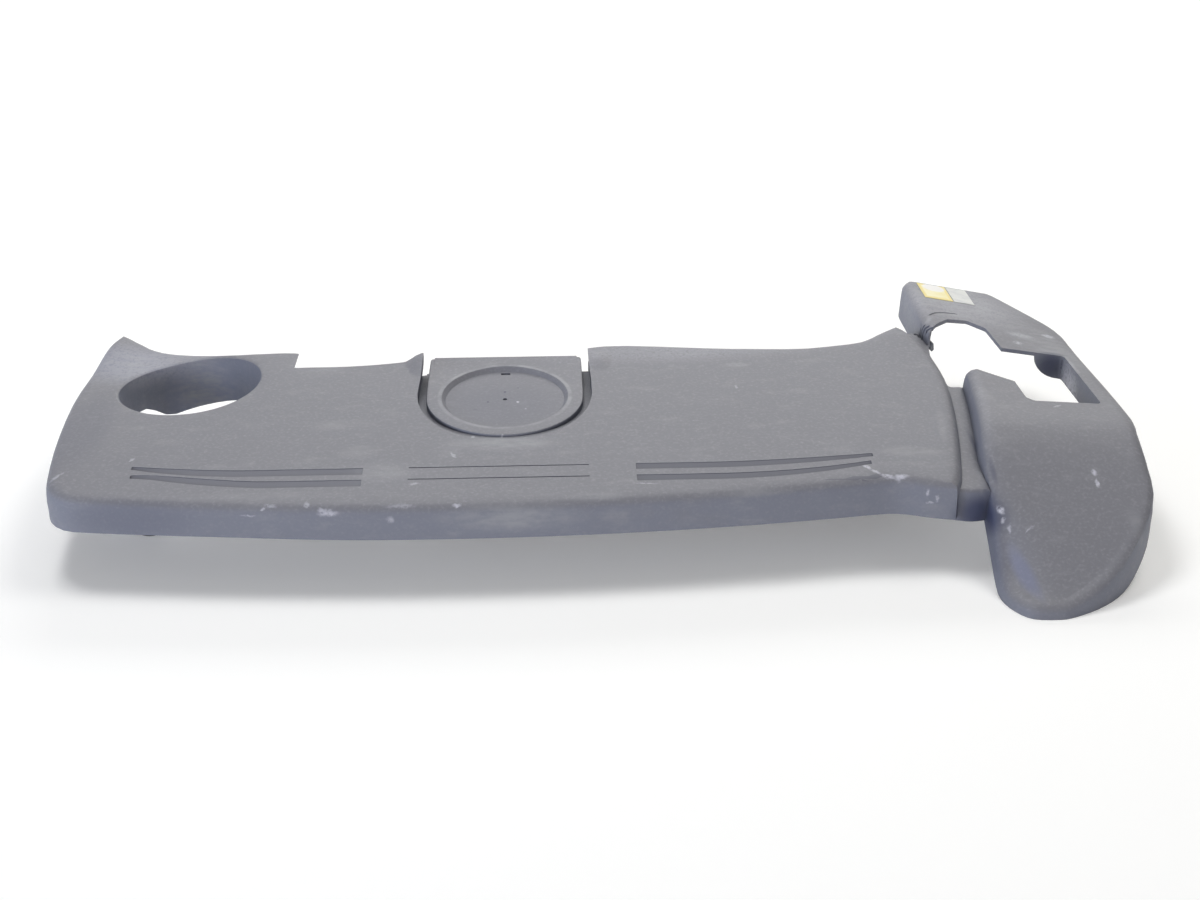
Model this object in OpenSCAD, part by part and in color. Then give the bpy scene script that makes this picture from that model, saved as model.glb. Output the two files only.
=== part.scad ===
// Moulded engine cover: a long shallow cover over the cylinder head, with a
// belt end that stands across its right end and droops at the front.
// X runs along the engine, Y to the back, Z up. The floor it rests on is Z = 0.

/* [Moulding] */
// Wall of the moulding
wall = 2.5; // [2:0.1:3.2]
// Outer radius where a top face turns into its skirt
edge_r = 7; // [5:0.5:9]
// How far a skirt leans out from its top edge to its foot
draft = 0.6; // [0:0.1:1.5]

/* [Long cover] */
// Length from the left end to the bow of the right end
cover_l = 545; // [530:1:570]
// Depth from the front skirt to the plain back edge
cover_d = 181; // [176:1:188]
// Height of the front edge of the top face above the floor
front_h = 51; // [48:0.5:56]
// Height of the back edge of the top face above the floor
back_h = 70; // [66:0.5:76]
// Height of the foot of the skirt above the floor
skirt_foot = 32; // [28:0.5:34]
// Depth of the skirt along the back edge
back_skirt = 22; // [16:0.5:26]
// How far the front skirt bows out between its ends
front_bow = 17.5; // [8:0.5:24]
// How far the right end curves in towards the front
end_bow = 15; // [10:0.5:22]
// How far the right end curves in towards the back
end_bow_back = 12; // [8:0.5:16]
// Plan radius of the front left corner
corner_r = 15; // [12:0.5:24]

/* [Left end] */
// How far the top face droops towards the left end
left_droop = 7; // [3:0.5:9]
// Length of the left end that droops and carries the ear
ear_l = 134; // [128:1:140]
// How far the back edge runs out towards the left tip
tip_reach = 50; // [30:1:56]
// How far the left tip turns up
tip_rise = 7.5; // [4:0.5:12]

/* [Oil filler opening] */
// Opening along the engine
filler_w = 88; // [84:0.5:94]
// Opening across the engine
filler_d = 77; // [70:0.5:80]
// Centre from the left end
filler_x = 70; // [67:0.5:73]
// Centre in front of the plain back edge
filler_set = 38.5; // [36:0.5:42]
// Depth of the collar below its rim where it reaches lowest
collar_h = 37.8; // [28:0.1:40]
// Rise of the foot of the collar to the right of its lowest place
collar_slant = 0.23; // [0.1:0.01:0.35]
// Width of the slot in the right side of the collar
collar_slot_w = 7; // [4:0.5:10]

/* [Badge pad] */
// Width of the pad
pad_w = 97; // [93:0.5:101]
// Centre of the pad from the left end
pad_x = 267; // [262:1:272]
// Centre of the round recess in front of the plain back edge
pad_set = 63.5; // [61:0.5:66]
// Back edge of the pad from the centre of the recess
pad_back = 52; // [50:0.5:55]
// Height of the pad at the centre of the recess
pad_h = 63.4; // [62.8:0.1:64.4]
// Forward slope of the pad in degrees
pad_slope = 3.4; // [2:0.1:4]
// Radius of the round recess
recess_r = 39; // [35:0.5:41]
// Depth of the round recess
recess_depth = 2.6; // [1.5:0.1:3]
// How far the wall of the recess leans back
recess_lean = 2.4; // [0.5:0.1:3]
// Width of the channel round the pad
channel_w = 5.2; // [4:0.1:6.5]
// Height of the channel floor at the centre of the recess
channel_h = 58.4; // [57.6:0.1:59]
// The channel is open below over this length in front of the back of the pad
channel_end = 5; // [3:0.5:12]

/* [Grooves] */
// Width of each groove
groove_w = 6.2; // [4:0.1:7.5]
// Depth of each groove at its front edge
groove_depth = 1.7; // [0.8:0.1:1.8]
// Rib left between the two grooves of a pair
groove_rib = 5; // [3.5:0.1:6]
// Back edge of the grooves from the front skirt line
groove_y = 38.5; // [34:0.5:42]
// Length of the left pair
left_groove_l = 132; // [110:1:136]
// Length of the right pair
right_groove_l = 138; // [110:1:142]
// Length of the faint panel between the pairs
panel_l = 103; // [90:1:110]
// Gap between a pair and the faint panel
groove_gap = 26; // [20:1:30]

/* [Belt end] */
// Width of the belt end beyond the bow of the cover
belt_w = 98.5; // [94:0.5:110]
// How far the arm stands out behind the plain back edge
arm_reach = 84; // [80:1:92]
// How far the drooping nose stands out in front of the front skirt line
nose_reach = 48.5; // [40:0.5:54]
// Height of the arm above the floor at its left end
arm_h = 82; // [80:0.5:86]
// Height of the nose where it starts to droop
nose_h = 70.5; // [68:0.5:76]
// Fall of the arm to the right, in millimetres for each millimetre
arm_fall = 0.19; // [0.1:0.01:0.22]
// Depth of the skirt of the arm and the rail
rail_skirt = 17; // [14:0.5:20]
// Width of the rail along the right side
rail_w = 15; // [13:0.5:17]
// How far the rail stands out beyond the side of the nose
rail_out = 3.5; // [2:0.5:5]
// How far the lower left flank of the nose reaches in
flank_w = 19; // [12:0.5:22]
// Width of the recessed neck between the cover and the belt end
neck_w = 9.5; // [8:0.5:12]
// How far the neck lies below the cover
neck_drop = 6; // [4.5:0.5:7]

/* [Opening in the belt end] */
// Length of the wide back half along the engine
slot_l = 41; // [36:1:46]
// Where the opening starts in front of the plain back edge
slot_set = 95; // [91:1:99]
// Depth of the opening at the rail side
slot_rail_d = 75; // [70:1:80]
// Depth of the opening at the cover side
slot_d = 112; // [106:1:116]
// Depth of the lip that is turned down at the rail
lip_h = 16; // [10:0.5:18]
// How far that lip runs along the back of the opening
lip_run = 19; // [12:1:24]

/* [Posts and grommets] */
// Outer radius of a mounting post
post_r = 10; // [9:0.25:12]
// Outer radius of a grommet where it sits in its post
grommet_r = 7.4; // [6.8:0.1:7.6]
// Gap between a grommet and its post
grommet_gap = 0.1; // [0.05:0.01:0.2]
// Length of a grommet inside its post
grommet_l = 15; // [12:0.5:18]
// Thickness of the flange under the post
flange_t = 3; // [2:0.25:4]
// Radius of the hole that takes the ball stud
stud_r = 5; // [4:0.1:5.5]
// Depth of the hole that takes the ball stud
stud_depth = 13; // [10:0.5:14]

/* [Label] */
// Width of the yellow field
yellow_w = 20; // [14:0.5:24]
// Width of the silver field
silver_w = 14.5; // [10:0.5:20]
// Height of both fields
label_d = 27; // [20:0.5:28]
// Thickness of the label film
label_t = 0.3; // [0.2:0.05:0.5]

/* [Hidden] */
$fn = 48;

// The plan is drawn with the left end at X = 0 and the front skirt line at
// Y = 0, then moved so that its box is centred on the origin.
left_bulge = 1.6;
belt_right = cover_l + belt_w;
belt_x = cover_l - 2;
arm_back = cover_d + arm_reach;
plan_centre = [(belt_right - left_bulge) / 2, (arm_back - nose_reach) / 2, 0];
filler_y = cover_d - filler_set;
pad_y = cover_d - pad_set;
// The lowest place of the foot of the collar
collar_x = filler_x - 25;
slot_front = cover_d - slot_set;
slot_mid = slot_front + slot_rail_d;
slot_back = slot_front + slot_d;

// Rise of the top face from front to back: its curve and where it runs
rise_power = 1.35;
rise_start = 2.5;
rise_l = cover_d - 1;

// How much narrower the channel is at its left and right back ends
channel_taper = [1.9, 0.8];
// The pad turns up over this part in front of its back edge
pad_turn = 16;

// Widest place of the right end, from the front skirt line
bow_y = cover_d - 50;
// The front skirt bows about this place along the cover
bow_x = 0.436 * cover_l;
// The skirt turns out again over the last part, where it meets the nose
toe_l = 45;
toe_out = 16;

// Plan radii of the corners of the belt end
nose_left_r = 26;
// The right side of the nose runs round to its tip in a long curve
nose_round = [142, 62];
nose_power = 0.25;
arm_corner_r = 12;
// The back right corner of the arm is cut off by this much along X and Y
arm_cut = [37, 59];
// Where the nose starts to droop, and the curve of its fall
droop_start = 58;
droop_soft = 0.15;
// The left side of the arm, the nose and the neck
arm_left = belt_x - 2;
nose_left = belt_x + 0.7;
// The skirt at the left end of the arm reaches down further
arm_drop = 9;

post_places = [
    [54, 73],
    [170, pad_y - 5.5],
    [cover_l - 70, 92],
    [cover_l - 62, cover_d - 36]];
post_foot = flange_t;
socket_r = grommet_r + grommet_gap;

function clamp(v, low, high) = max(low, min(high, v));
function ease(v) = let (c = clamp(v, 0, 1)) c * c * (3 - 2 * c);
function mix(a, b, t) = a + (b - a) * t;
// Steps from 0 to 1 that close up towards both ends
function spread(i, n) = mix(i / n, (1 - cos(180 * i / n)) / 2, 0.55);
// From 0 to 1, level at first and then straight, with a soft turn between
function bend(t, soft) = (sqrt(t * t + soft * soft) - soft) / (sqrt(1 + soft * soft) - soft);
// How far a corner of radius r draws a side in, at a distance d from its end
function corner(d, r) = d >= r ? 0 : r - sqrt(r * r - pow(r - max(d, 0), 2));

// Height of the top face of the long cover
function cover_z(x, y) =
    let (t = clamp((y - rise_start) / rise_l, 0, 1),
        rise = (back_h - front_h) * (1 - pow(1 - t, rise_power)),
        droop = left_droop * ease((ear_l - x) / 110) * clamp((y - cover_d + 121) / 80, 0, 1.5),
        tip = tip_rise * ease((35 - x) / 30) * ease((y - cover_d + 21) / 45),
        toe = 4 * ease((x - cover_l + 69) / 55) * ease((y - cover_d + 41) / 60))
    front_h + rise - droop + tip + toe;

// Height of the top face of the belt end
function belt_z(x, y) =
    let (level = y > droop_start
            ? mix(nose_h, arm_h - 2.5, ease((y - droop_start) / (cover_d - 11)))
            : mix(nose_h, edge_r + 1, bend((droop_start - y) / (droop_start + nose_reach - edge_r), droop_soft)),
        fade = clamp(1 - (droop_start - y) / 60, 0, 1),
        fall = mix(0.06, arm_fall, ease((y - droop_start) / (cover_d - 31))) * fade,
        inside = nose_left + flank_w * ease((30 - y) / 50) - x,
        flank = 0.38 * (inside + sqrt(inside * inside + 30)) * ease((42 - y) / 24),
        soft = 1.6 * pow(clamp((nose_left + 13 - x) / 13, 0, 1), 2) * ease((slot_front + 30 - y) / 20))
    max(edge_r + 1, level - fall * (x - arm_left - 13) - flank - soft);

// Plan lines of the long cover
function cover_front(x) =
    front_bow * pow((x - bow_x) / bow_x, 2) - toe_out * ease((x - cover_l + 59) / toe_l);
function cover_left(y) =
    let (d = cover_d - 31 - y)
    (d > 0 ? 11 * pow(d / 133, 1.7) : 5.7 * pow(-d / 66, 1.16)) - left_bulge;
function cover_right(y) = cover_l - (y < bow_y
    ? end_bow * pow((bow_y - y) / 109, 1.5)
    : end_bow_back * pow((y - bow_y) / 68, 2));
function cover_back(x) = cover_d + (x < ear_l
    ? tip_reach * pow((ear_l - x) / ear_l, 2)
    : -5 + 9 * ease((430 - x) / 110) * ease((x - 300) / 40) - 1.3 * ease((x - 425) / 30)
        + 4.9 * ease((x - cover_l + 88) / 35) + 22.1 * ease((x - cover_l + 51) / 42));
// The scallop behind the filler, between the ear and the pad
function scallop(x) = cover_d - 27.2 + 8.7 * pow(clamp((x - ear_l - 21) / 62, 0, 1.2), 2);

// Plan lines of the belt end
function belt_left(y) = y < bow_y
    ? max(cover_right(y) + neck_w, nose_left) + corner(y + nose_reach, nose_left_r)
    : mix(cover_right(bow_y) + neck_w, arm_left, ease((y - bow_y) / 60)) + corner(arm_back - y, arm_corner_r);
function belt_side(y) =
    let (cut = max(0, y - (arm_back - arm_cut[1])) * arm_cut[0] / arm_cut[1],
        step = rail_out * (1 - ease((y - 53) / 8)) + 1.6 * ease((y - 110) / 90))
    belt_right - step - nose_round[0] * (1 - pow(clamp((y + nose_reach) / nose_round[1], 0, 1), nose_power)) - cut;

// Foot of each skirt
function cover_foot(x, y) =
    let (at_back = ease((y - cover_d + 81) / 40),
        at_right = ease((x - cover_l + 40) / 20) * ease((y - 40) / 20),
        low = skirt_foot - ease((30 - x) / 18) - 1.4 * ease((x - 100) / 90) - ease((x - cover_l + 50) / 40))
    mix(mix(low, cover_z(x, y) - back_skirt, at_back), cover_z(x, y) - neck_drop - 5, at_right);
function neck_foot(x, y) =
    mix(skirt_foot - 5, cover_z(x, y) - neck_drop - edge_r, ease((y - 24) / 14));
function belt_foot(x, y) =
    let (flat = belt_z(x, max(y, droop_start)) - rail_skirt,
        deeper = arm_drop * ease((arm_left + 16 - x) / 8) * ease((y - cover_d - 4) / 12))
    (flat - deeper) * clamp((y + 22) / 80, 0, 1);

// A grid of plan points: columns along X, rows along Y, inside four plan lines
// that are drawn in by the edge radius
function plan_grid(n, m, left, right, front, back, in_r) = [for (i = [0:n])
    [for (j = [0:m])
        let (s = spread(i, n), t = spread(j, m),
            y0 = mix(front(s * cover_l), back(s * cover_l), t),
            x = mix(left(y0) + in_r, right(y0) - in_r, s),
            y = mix(front(x) + in_r, back(x) - in_r, t))
        [x, y]]];

// The same for a plan whose sides follow Y
function side_grid(n, m, left, right, front, back, in_r) = [for (i = [0:n])
    [for (j = [0:m])
        let (y = mix(front + in_r, back - in_r, spread(j, m)))
        [mix(left(y) + in_r, right(y) - in_r, spread(i, n)), y]]];

// The border of a grid, walked once against the clock
function border(n, m) = concat(
    [for (i = [0:n - 1]) [i, 0]],
    [for (j = [0:m - 1]) [n, j]],
    [for (i = [n:-1:1]) [i, m]],
    [for (j = [m:-1:1]) [0, j]]);

function unit(v) = v / norm(v);

// Stitch ring after ring of point numbers into triangles
function stitch(rings) = [for (k = [0:len(rings) - 2], q = [0:len(rings[0]) - 1])
    let (n = len(rings[0]), a = rings[k][q], b = rings[k][(q + 1) % n],
        c = rings[k + 1][(q + 1) % n], d = rings[k + 1][q])
    each [[a, b, c], [a, c, d]]];

// A thin shell over a grid: a top face, a rounded edge and a skirt down to its
// foot, all of one wall, open below. Turned picks the other diagonal of each cell.
module tray(grid, top, foot, out_r, turned = false) {
    n = len(grid) - 1;
    m = len(grid[0]) - 1;
    walk = border(n, m);
    count = len(walk);
    at = [for (w = walk) grid[w[0]][w[1]]];
    normal = [for (q = [0:count - 1])
        let (d = unit(at[(q + 1) % count] - at[(q + count - 1) % count]))
        [d[1], -d[0]]];
    size = (n + 1) * (m + 1);
    turn = [30, 60, 90];
    in_r = out_r - wall;
    over = [for (c = grid, p = c) [p[0], p[1], top(p[0], p[1])]];
    under = [for (p = over) p - [0, 0, wall]];
    function ring(reach, fall) = [for (q = [0:count - 1])
        let (p = at[q] + normal[q] * reach)
        [p[0], p[1], top(at[q][0], at[q][1]) - fall]];
    function foot_ring(reach) = [for (q = [0:count - 1])
        let (p = at[q] + normal[q] * reach)
        [p[0], p[1], foot(p[0], p[1])]];
    outer = [for (a = turn) ring(out_r * sin(a), out_r * (1 - cos(a)))];
    inner = [for (a = [90, 60, 30]) ring(in_r * sin(a), wall + in_r * (1 - cos(a)))];
    layers = concat(outer, [foot_ring(out_r + draft), foot_ring(in_r + draft)], inner);
    points = concat(over, under, [for (l = layers) each l]);
    ids = concat(
        [[for (w = walk) w[0] * (m + 1) + w[1]]],
        [for (k = [0:len(layers) - 1]) [for (q = [0:count - 1]) 2 * size + k * count + q]],
        [[for (w = walk) size + w[0] * (m + 1) + w[1]]]);
    cells = [for (i = [0:n - 1], j = [0:m - 1])
        let (a = i * (m + 1) + j, b = a + 1, d = a + m + 1, c = d + 1)
        each turned ? [[a, b, d], [b, c, d]] : [[a, b, c], [a, c, d]]];
    bottom = [for (f = cells) [f[2] + size, f[1] + size, f[0] + size]];
    polyhedron(points, concat(cells, bottom, stitch(ids)));
}

// A closed solid through rings of points that are given from its top down
module loft(rings) {
    n = len(rings[0]);
    last = len(rings) - 1;
    function centre(r) = [for (k = [0:2]) [for (p = r) p[k]] * [for (p = r) 1] / n];
    points = concat([for (r = rings) each r], [centre(rings[0]), centre(rings[last])]);
    ids = [for (k = [0:last]) [for (q = [0:n - 1]) k * n + q]];
    lid = [for (q = [0:n - 1]) [n * (last + 1), (q + 1) % n, q]];
    base = [for (q = [0:n - 1]) [n * (last + 1) + 1, last * n + q, last * n + (q + 1) % n]];
    polyhedron(points, concat(lid, base, stitch(ids)));
}

// A solid over a plan outline, from a sinking of the top face down to a height
module plug(outline, top, sink, low) {
    loft([
        [for (p = outline) [p[0], p[1], top(p[0], p[1]) - sink]],
        [for (p = outline) [p[0], p[1], low]]]);
}

function oval(x, y, a, b, n) = [for (k = [0:n - 1]) [x + a * cos(360 * k / n), y + b * sin(360 * k / n)]];

// Outline of the pad: round in front, straight sides, flat back with small
// round corners
function pad_outline(grow, back) =
    let (w = pad_w / 2 + grow, c = 2.5)
    concat(
        [for (a = [180:10:360]) [w * cos(a), w * sin(a)]],
        [for (a = [0:30:90]) [w - c + c * cos(a), back - c + c * sin(a)]],
        [for (a = [90:30:180]) [-w + c + c * cos(a), back - c + c * sin(a)]]);

// A shallow cut that follows a top face between two rows of points. Its floor
// slopes from a small depth at the far row down to its depth at the near row.
module ribbon(near, far, top, depth, shallow) {
    n = len(near) - 1;
    path = concat(near, [for (i = [n:-1:0]) far[i]]);
    up = [for (p = path) [p[0], p[1], top(p[0], p[1]) + 2]];
    down = [for (i = [0:2 * n + 1])
        let (p = path[i])
        [p[0], p[1], top(p[0], p[1]) - (i <= n ? depth : shallow)]];
    k = len(path);
    strip = [for (i = [0:n - 1])
        let (a = i, b = i + 1, c = k - 2 - i, d = k - 1 - i)
        each [[a, d, c], [a, c, b]]];
    flip = [for (f = strip) [f[2] + k, f[1] + k, f[0] + k]];
    ids = [[for (q = [0:k - 1]) q], [for (q = [0:k - 1]) k + q]];
    polyhedron(concat(up, down), concat(strip, flip, stitch(ids)));
}

module cover_tray() {
    left = function (y) cover_left(y);
    right = function (y) cover_right(y);
    front = function (x) cover_front(x) + corner(x - cover_left(edge_r) - edge_r, corner_r - edge_r);
    back = function (x) cover_back(x);
    grid = plan_grid(32, 13, left, right, front, back, edge_r);
    tray(grid, function (x, y) cover_z(x, y), function (x, y) cover_foot(x, y), edge_r);
}

module neck_tray() {
    r = wall + 1;
    left = function (y) cover_right(y) - wall - 2;
    right = function (y) max(cover_right(y) + neck_w, nose_left) + wall * 0.6;
    front = cover_front(cover_l) + 1;
    grid = side_grid(3, 14, left, right, front, cover_d + 17, r);
    tray(grid, function (x, y) cover_z(x, y) - neck_drop, function (x, y) neck_foot(x, y), r);
}

module belt_tray() {
    left = function (y) belt_left(y);
    right = function (y) belt_side(y);
    grid = side_grid(11, 28, left, right, -nose_reach, arm_back, edge_r);
    tray(grid, function (x, y) belt_z(x, y), function (x, y) belt_foot(x, y), edge_r, true);
}

// Plan of the opening in the belt end
module slot_plan() {
    right = belt_right - rail_w;
    mid = belt_x + slot_l;
    offset(3) offset(-3) polygon([
        [belt_x + 2.2, slot_front + 40],
        [belt_x + 17, slot_front + 40],
        [mid - 2, slot_front + 26],
        [mid - 1, slot_front + 4],
        [mid + 3, slot_front],
        [right, slot_front],
        [right, slot_mid],
        [mid + 3, slot_mid],
        [mid, slot_back - 8],
        [mid - 11, slot_back],
        [mid - 25, slot_back - 3],
        [belt_x + 0.5, slot_back - 20],
        [belt_x - 1, slot_back - 33]]);
}

// The lip that is turned down round the rail side of the opening. Behind the
// opening its edge runs out in a quarter of an oval.
module slot_lip() {
    right = belt_right - rail_w;
    ys = [for (i = [0:6]) mix(slot_front - 2, slot_mid + wall, i / 6)];
    outline = concat([for (y = ys) [right + wall, y]], [for (i = [6:-1:0]) [right - 0.5, ys[i]]]);
    loft([
        [for (p = outline) [p[0], p[1], belt_z(p[0], p[1]) - 1]],
        [for (p = outline) [p[0], p[1], belt_z(p[0], p[1]) - lip_h]]]);
    z = belt_z(right, slot_mid) - 1;
    translate([0, slot_mid + wall, 0])
        rotate([90, 0, 0])
            linear_extrude(wall + 0.5)
                polygon(concat(
                    [[right + 1, z - 0.2], [right - lip_run, z + lip_run * arm_fall]],
                    [for (a = [15:15:90]) [right - lip_run * cos(a), z - lip_h * sin(a) + 1]],
                    [[right + 1, z - lip_h + 1]]));
}

module posts() {
    for (p = post_places)
        plug(oval(p[0], p[1], post_r, post_r, 24), function (x, y) cover_z(x, y), 1, post_foot);
}

module sockets() {
    for (p = post_places)
        translate([p[0], p[1], post_foot - 1])
            cylinder(r = socket_r, h = grommet_l + 1.5);
}

module filler_collar() {
    ring = oval(filler_x, filler_y, filler_w / 2 + wall, filler_d / 2 + wall, 40);
    low = cover_z(filler_x, filler_y) - collar_h;
    function foot(x) = low + min(11, collar_slant * (x > collar_x ? x - collar_x : 4 * (collar_x - x)));
    loft([
        [for (p = ring) [p[0], p[1], cover_z(p[0], p[1]) - 1]],
        [for (p = ring) [p[0], p[1], foot(p[0])]]]);
}

// Two rings open the rim of the filler, and the rest of the opening is upright
module filler_cut() {
    function rim(grow, up) = [for (p = oval(filler_x, filler_y, filler_w / 2 + grow, filler_d / 2 + grow, 40))
        [p[0], p[1], cover_z(p[0], p[1]) + up]];
    loft([rim(3, 2), rim(1.6, 0), rim(0.4, -0.7), rim(0, -2),
        [for (p = rim(0, 0)) [p[0], p[1], 5]]]);
    translate([filler_x + filler_w / 2 - 2, filler_y - 2, cover_z(filler_x, filler_y) - 17])
        cube([8, collar_slot_w, 14]);
}

module pad_tub() {
    outline = [for (p = pad_outline(channel_w + wall, pad_back)) p + [pad_x, pad_y]];
    plug(outline, function (x, y) cover_z(x, y), 0.8, channel_h - 3 * wall / 2);
}

// The channel is cut down to its floor, which meets the top face in front. It
// grows narrower to the back, where the corners of the top face lean over it.
// Behind the pad the cut goes right through, so the back of the pad is free.
module channel_cut() {
    w = pad_w / 2 + channel_w;
    function outline(t, z) = concat(
        [for (a = [180:10:360]) [w * cos(a), w * sin(a), z]],
        [for (p = [[w - t * channel_taper[1], pad_back], [w - t * channel_taper[1], pad_back + 40],
            [t * channel_taper[0] - w, pad_back + 40], [t * channel_taper[0] - w, pad_back]]) [p[0], p[1], z]]);
    translate([pad_x, pad_y, channel_h])
        rotate([-0.7, 0, 0])
            loft([outline(1, 30), outline(1, 11), outline(0, 0)]);
    inner = pad_w / 2 - 1;
    start = pad_back - channel_end;
    back = pad_back - 0.6;
    translate([pad_x, pad_y, channel_h - 40])
        linear_extrude(41)
            polygon([
                [0.3 - w, start], [-inner, start], [-inner, back],
                [inner, back], [inner, start], [w - 0.3, start],
                [w - 0.3, pad_back + 39], [0.3 - w, pad_back + 39]]);
}

// The low rise of the pad towards its back edge
module pad_rise() {
    translate([3 - pad_w / 2, 0, 0])
        rotate([90, 0, 90])
            linear_extrude(pad_w - 6)
                polygon([
                    [pad_back - pad_turn - 3, -1], [pad_back - 1.2, -1],
                    [pad_back - 1.2, 0.9], [pad_back - pad_turn - 3, -0.2]]);
}

module pad_block() {
    translate([pad_x, pad_y, pad_h])
        rotate([pad_slope, 0, 0])
            difference() {
                union() {
                    pad_rise();
                    loft([
                        [for (p = pad_outline(-0.9, pad_back - 0.9)) [p[0], p[1], 0]],
                        [for (p = pad_outline(-0.3, pad_back - 0.3)) [p[0], p[1], -0.3]],
                        [for (p = pad_outline(0, pad_back)) [p[0], p[1], -1]],
                        [for (p = pad_outline(0, pad_back)) [p[0], p[1], -9]]]);
                }
                translate([0, 0, -recess_depth])
                    cylinder(r1 = recess_r - recess_lean, r2 = recess_r + recess_lean / recess_depth, h = recess_depth + 1);
                translate([-2.8, recess_r - recess_lean - 4.5, -recess_depth - 0.9]) cube([5.6, 2.6, 1.4]);
                translate([0, 0, -recess_depth - 0.8]) cylinder(r = 1.3, h = 2);
            }
}

module pad_pocket() {
    translate([pad_x, pad_y, pad_h - recess_depth - wall])
        rotate([pad_slope, 0, 0])
            translate([0, 0, -20])
                linear_extrude(20)
                    polygon(pad_outline(-wall, pad_back - wall));
}

// The grooves swing back and grow narrower towards their outer ends
module grooves() {
    panel_x = pad_x - 2.5;
    left_x = panel_x - panel_l / 2 - groove_gap - left_groove_l;
    right_x = panel_x + panel_l / 2 + groove_gap + 1;
    right_end = right_x + right_groove_l;
    front_y = groove_y - groove_w - groove_rib;
    left_t = function (x) clamp((left_x + 62 - x) / 62, 0, 1);
    right_t = function (x) clamp((x - right_end + 92) / 92, 0, 1);
    left_w = function (x) groove_w * mix(1, 0.45, pow(left_t(x), 3));
    right_w = function (x) groove_w * mix(0.9, 0.5, pow(right_t(x), 2));
    lines = [
        function (x) groove_y + 5.6 * pow(left_t(x), 1.4),
        function (x) front_y + 8.3 * pow(left_t(x - 14), 1.3),
        function (x) groove_y + 5.8 * pow(right_t(x), 1.6),
        function (x) front_y + 10 * pow(right_t(x), 2)];
    top = function (x, y) cover_z(x, y);
    for (k = [0, 1]) {
        xs = [for (i = [0:11]) mix(left_x + k, left_x + left_groove_l, i / 11)];
        ribbon([for (x = xs) [x, lines[k](x) - left_w(x)]], [for (x = xs) [x, lines[k](x)]], top, groove_depth, 0.3);
    }
    for (k = [2, 3]) {
        xs = [for (i = [0:11]) mix(right_x, right_end + 4 - 2 * k, i / 11)];
        ribbon([for (x = xs) [x, lines[k](x) - right_w(x)]], [for (x = xs) [x, lines[k](x)]], top, groove_depth, 0.3);
    }
    for (y = [groove_y, front_y]) {
        xs = [for (i = [0:6]) mix(panel_x - panel_l / 2, panel_x + panel_l / 2, i / 6)];
        ribbon([for (x = xs) [x, y - 0.9]], [for (x = xs) [x, y]], top, 0.5, 0.4);
    }
}

module back_cut() {
    xs = [for (i = [0:10]) mix(ear_l, pad_x - pad_w / 2 - channel_w + channel_taper[0] + 1, i / 10)];
    path = concat([for (x = xs) [x, scallop(x)]], [[xs[10], cover_d + 40], [ear_l, cover_d + 40]]);
    // Below the top face the side of the ear leans in under it
    function lean(x, z) = x < ear_l + 1 ? 0.42 * (z - cover_z(ear_l, cover_d - 20)) : 0;
    loft([for (z = [back_h + 14, 5]) [for (p = path) [p[0] + lean(p[0], z), p[1], z]]]);
}

// A soft bump on the top face, given by its centre, its half widths and height
module bump(x, y, a, b, h) {
    loft(concat(
        [for (k = [0.18, 0.42, 0.66, 0.86])
            [for (p = oval(x, y, a * k, b * k, 18)) [p[0], p[1], cover_z(p[0], p[1]) + h * pow(cos(90 * k), 1.6)]]],
        [[for (p = oval(x, y, a, b, 18)) [p[0], p[1], cover_z(p[0], p[1]) - 0.3]]]));
}

// The corners of the top face beside the slots of the pad
module horns() {
    side = pad_w / 2 + channel_w;
    bump(pad_x - side + channel_taper[0], cover_d - 23, 13, 20, 5.2);
    bump(pad_x + side + 6.5, cover_d - 24, 8, 15, 1.6);
}

// A thin line pressed into the arm behind its opening
module arm_bead() {
    near = [[belt_x - 1.5, slot_back - 24], [belt_x + 0.5, slot_back - 12], [belt_x + 4.5, slot_back - 2],
        [belt_x + 10.5, slot_back + 4.5], [belt_x + 18, slot_back + 7.5], [belt_x + 26, slot_back + 8.5]];
    far = [for (p = near) p + [-1, 0.9]];
    ribbon(near, far, function (x, y) belt_z(x, y), 0.6, 0.5);
}

module comb() {
    for (k = [0:5])
        translate([belt_x - 9.5 + 1.7 * k, slot_back + 2 - 3.6 * k, 40])
            rotate([0, 0, -28])
                cube([4.5, 1.5, 60]);
}

module belt_end() {
    difference() {
        union() {
            belt_tray();
            slot_lip();
        }
        translate([0, 0, 20]) linear_extrude(90) slot_plan();
        translate([belt_x - 30, slot_front + 39, 20]) cube([50, slot_back - slot_front - 59, 90]);
        arm_bead();
    }
}

module neck() {
    difference() {
        neck_tray();
        translate([0, 0, 20]) linear_extrude(90) slot_plan();
    }
}

module cover() {
    difference() {
        union() {
            cover_tray();
            filler_collar();
            pad_tub();
            posts();
            horns();
        }
        filler_cut();
        channel_cut();
        back_cut();
        grooves();
        sockets();
    }
}

module cover_shell() {
    color([0.56, 0.56, 0.59])
        translate(-plan_centre)
            difference() {
                union() {
                    cover();
                    neck();
                    belt_end();
                    pad_block();
                }
                pad_pocket();
                comb();
            }
}

// A label field lies on the flat part of the arm, which falls to the right
module label_field(start, w) {
    tilt = atan(arm_fall);
    x = arm_left + 11 + start;
    y = arm_back - edge_r - 1.5 - label_d;
    translate(-plan_centre)
        translate([x, y, belt_z(x, y)])
            rotate([0, tilt, 0])
                cube([w, label_d, label_t]);
}

module yellow_label() {
    color([0.86, 0.80, 0.35]) label_field(0, yellow_w);
}

module silver_label() {
    color([0.66, 0.67, 0.69]) label_field(yellow_w / cos(atan(arm_fall)), silver_w);
}

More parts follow.
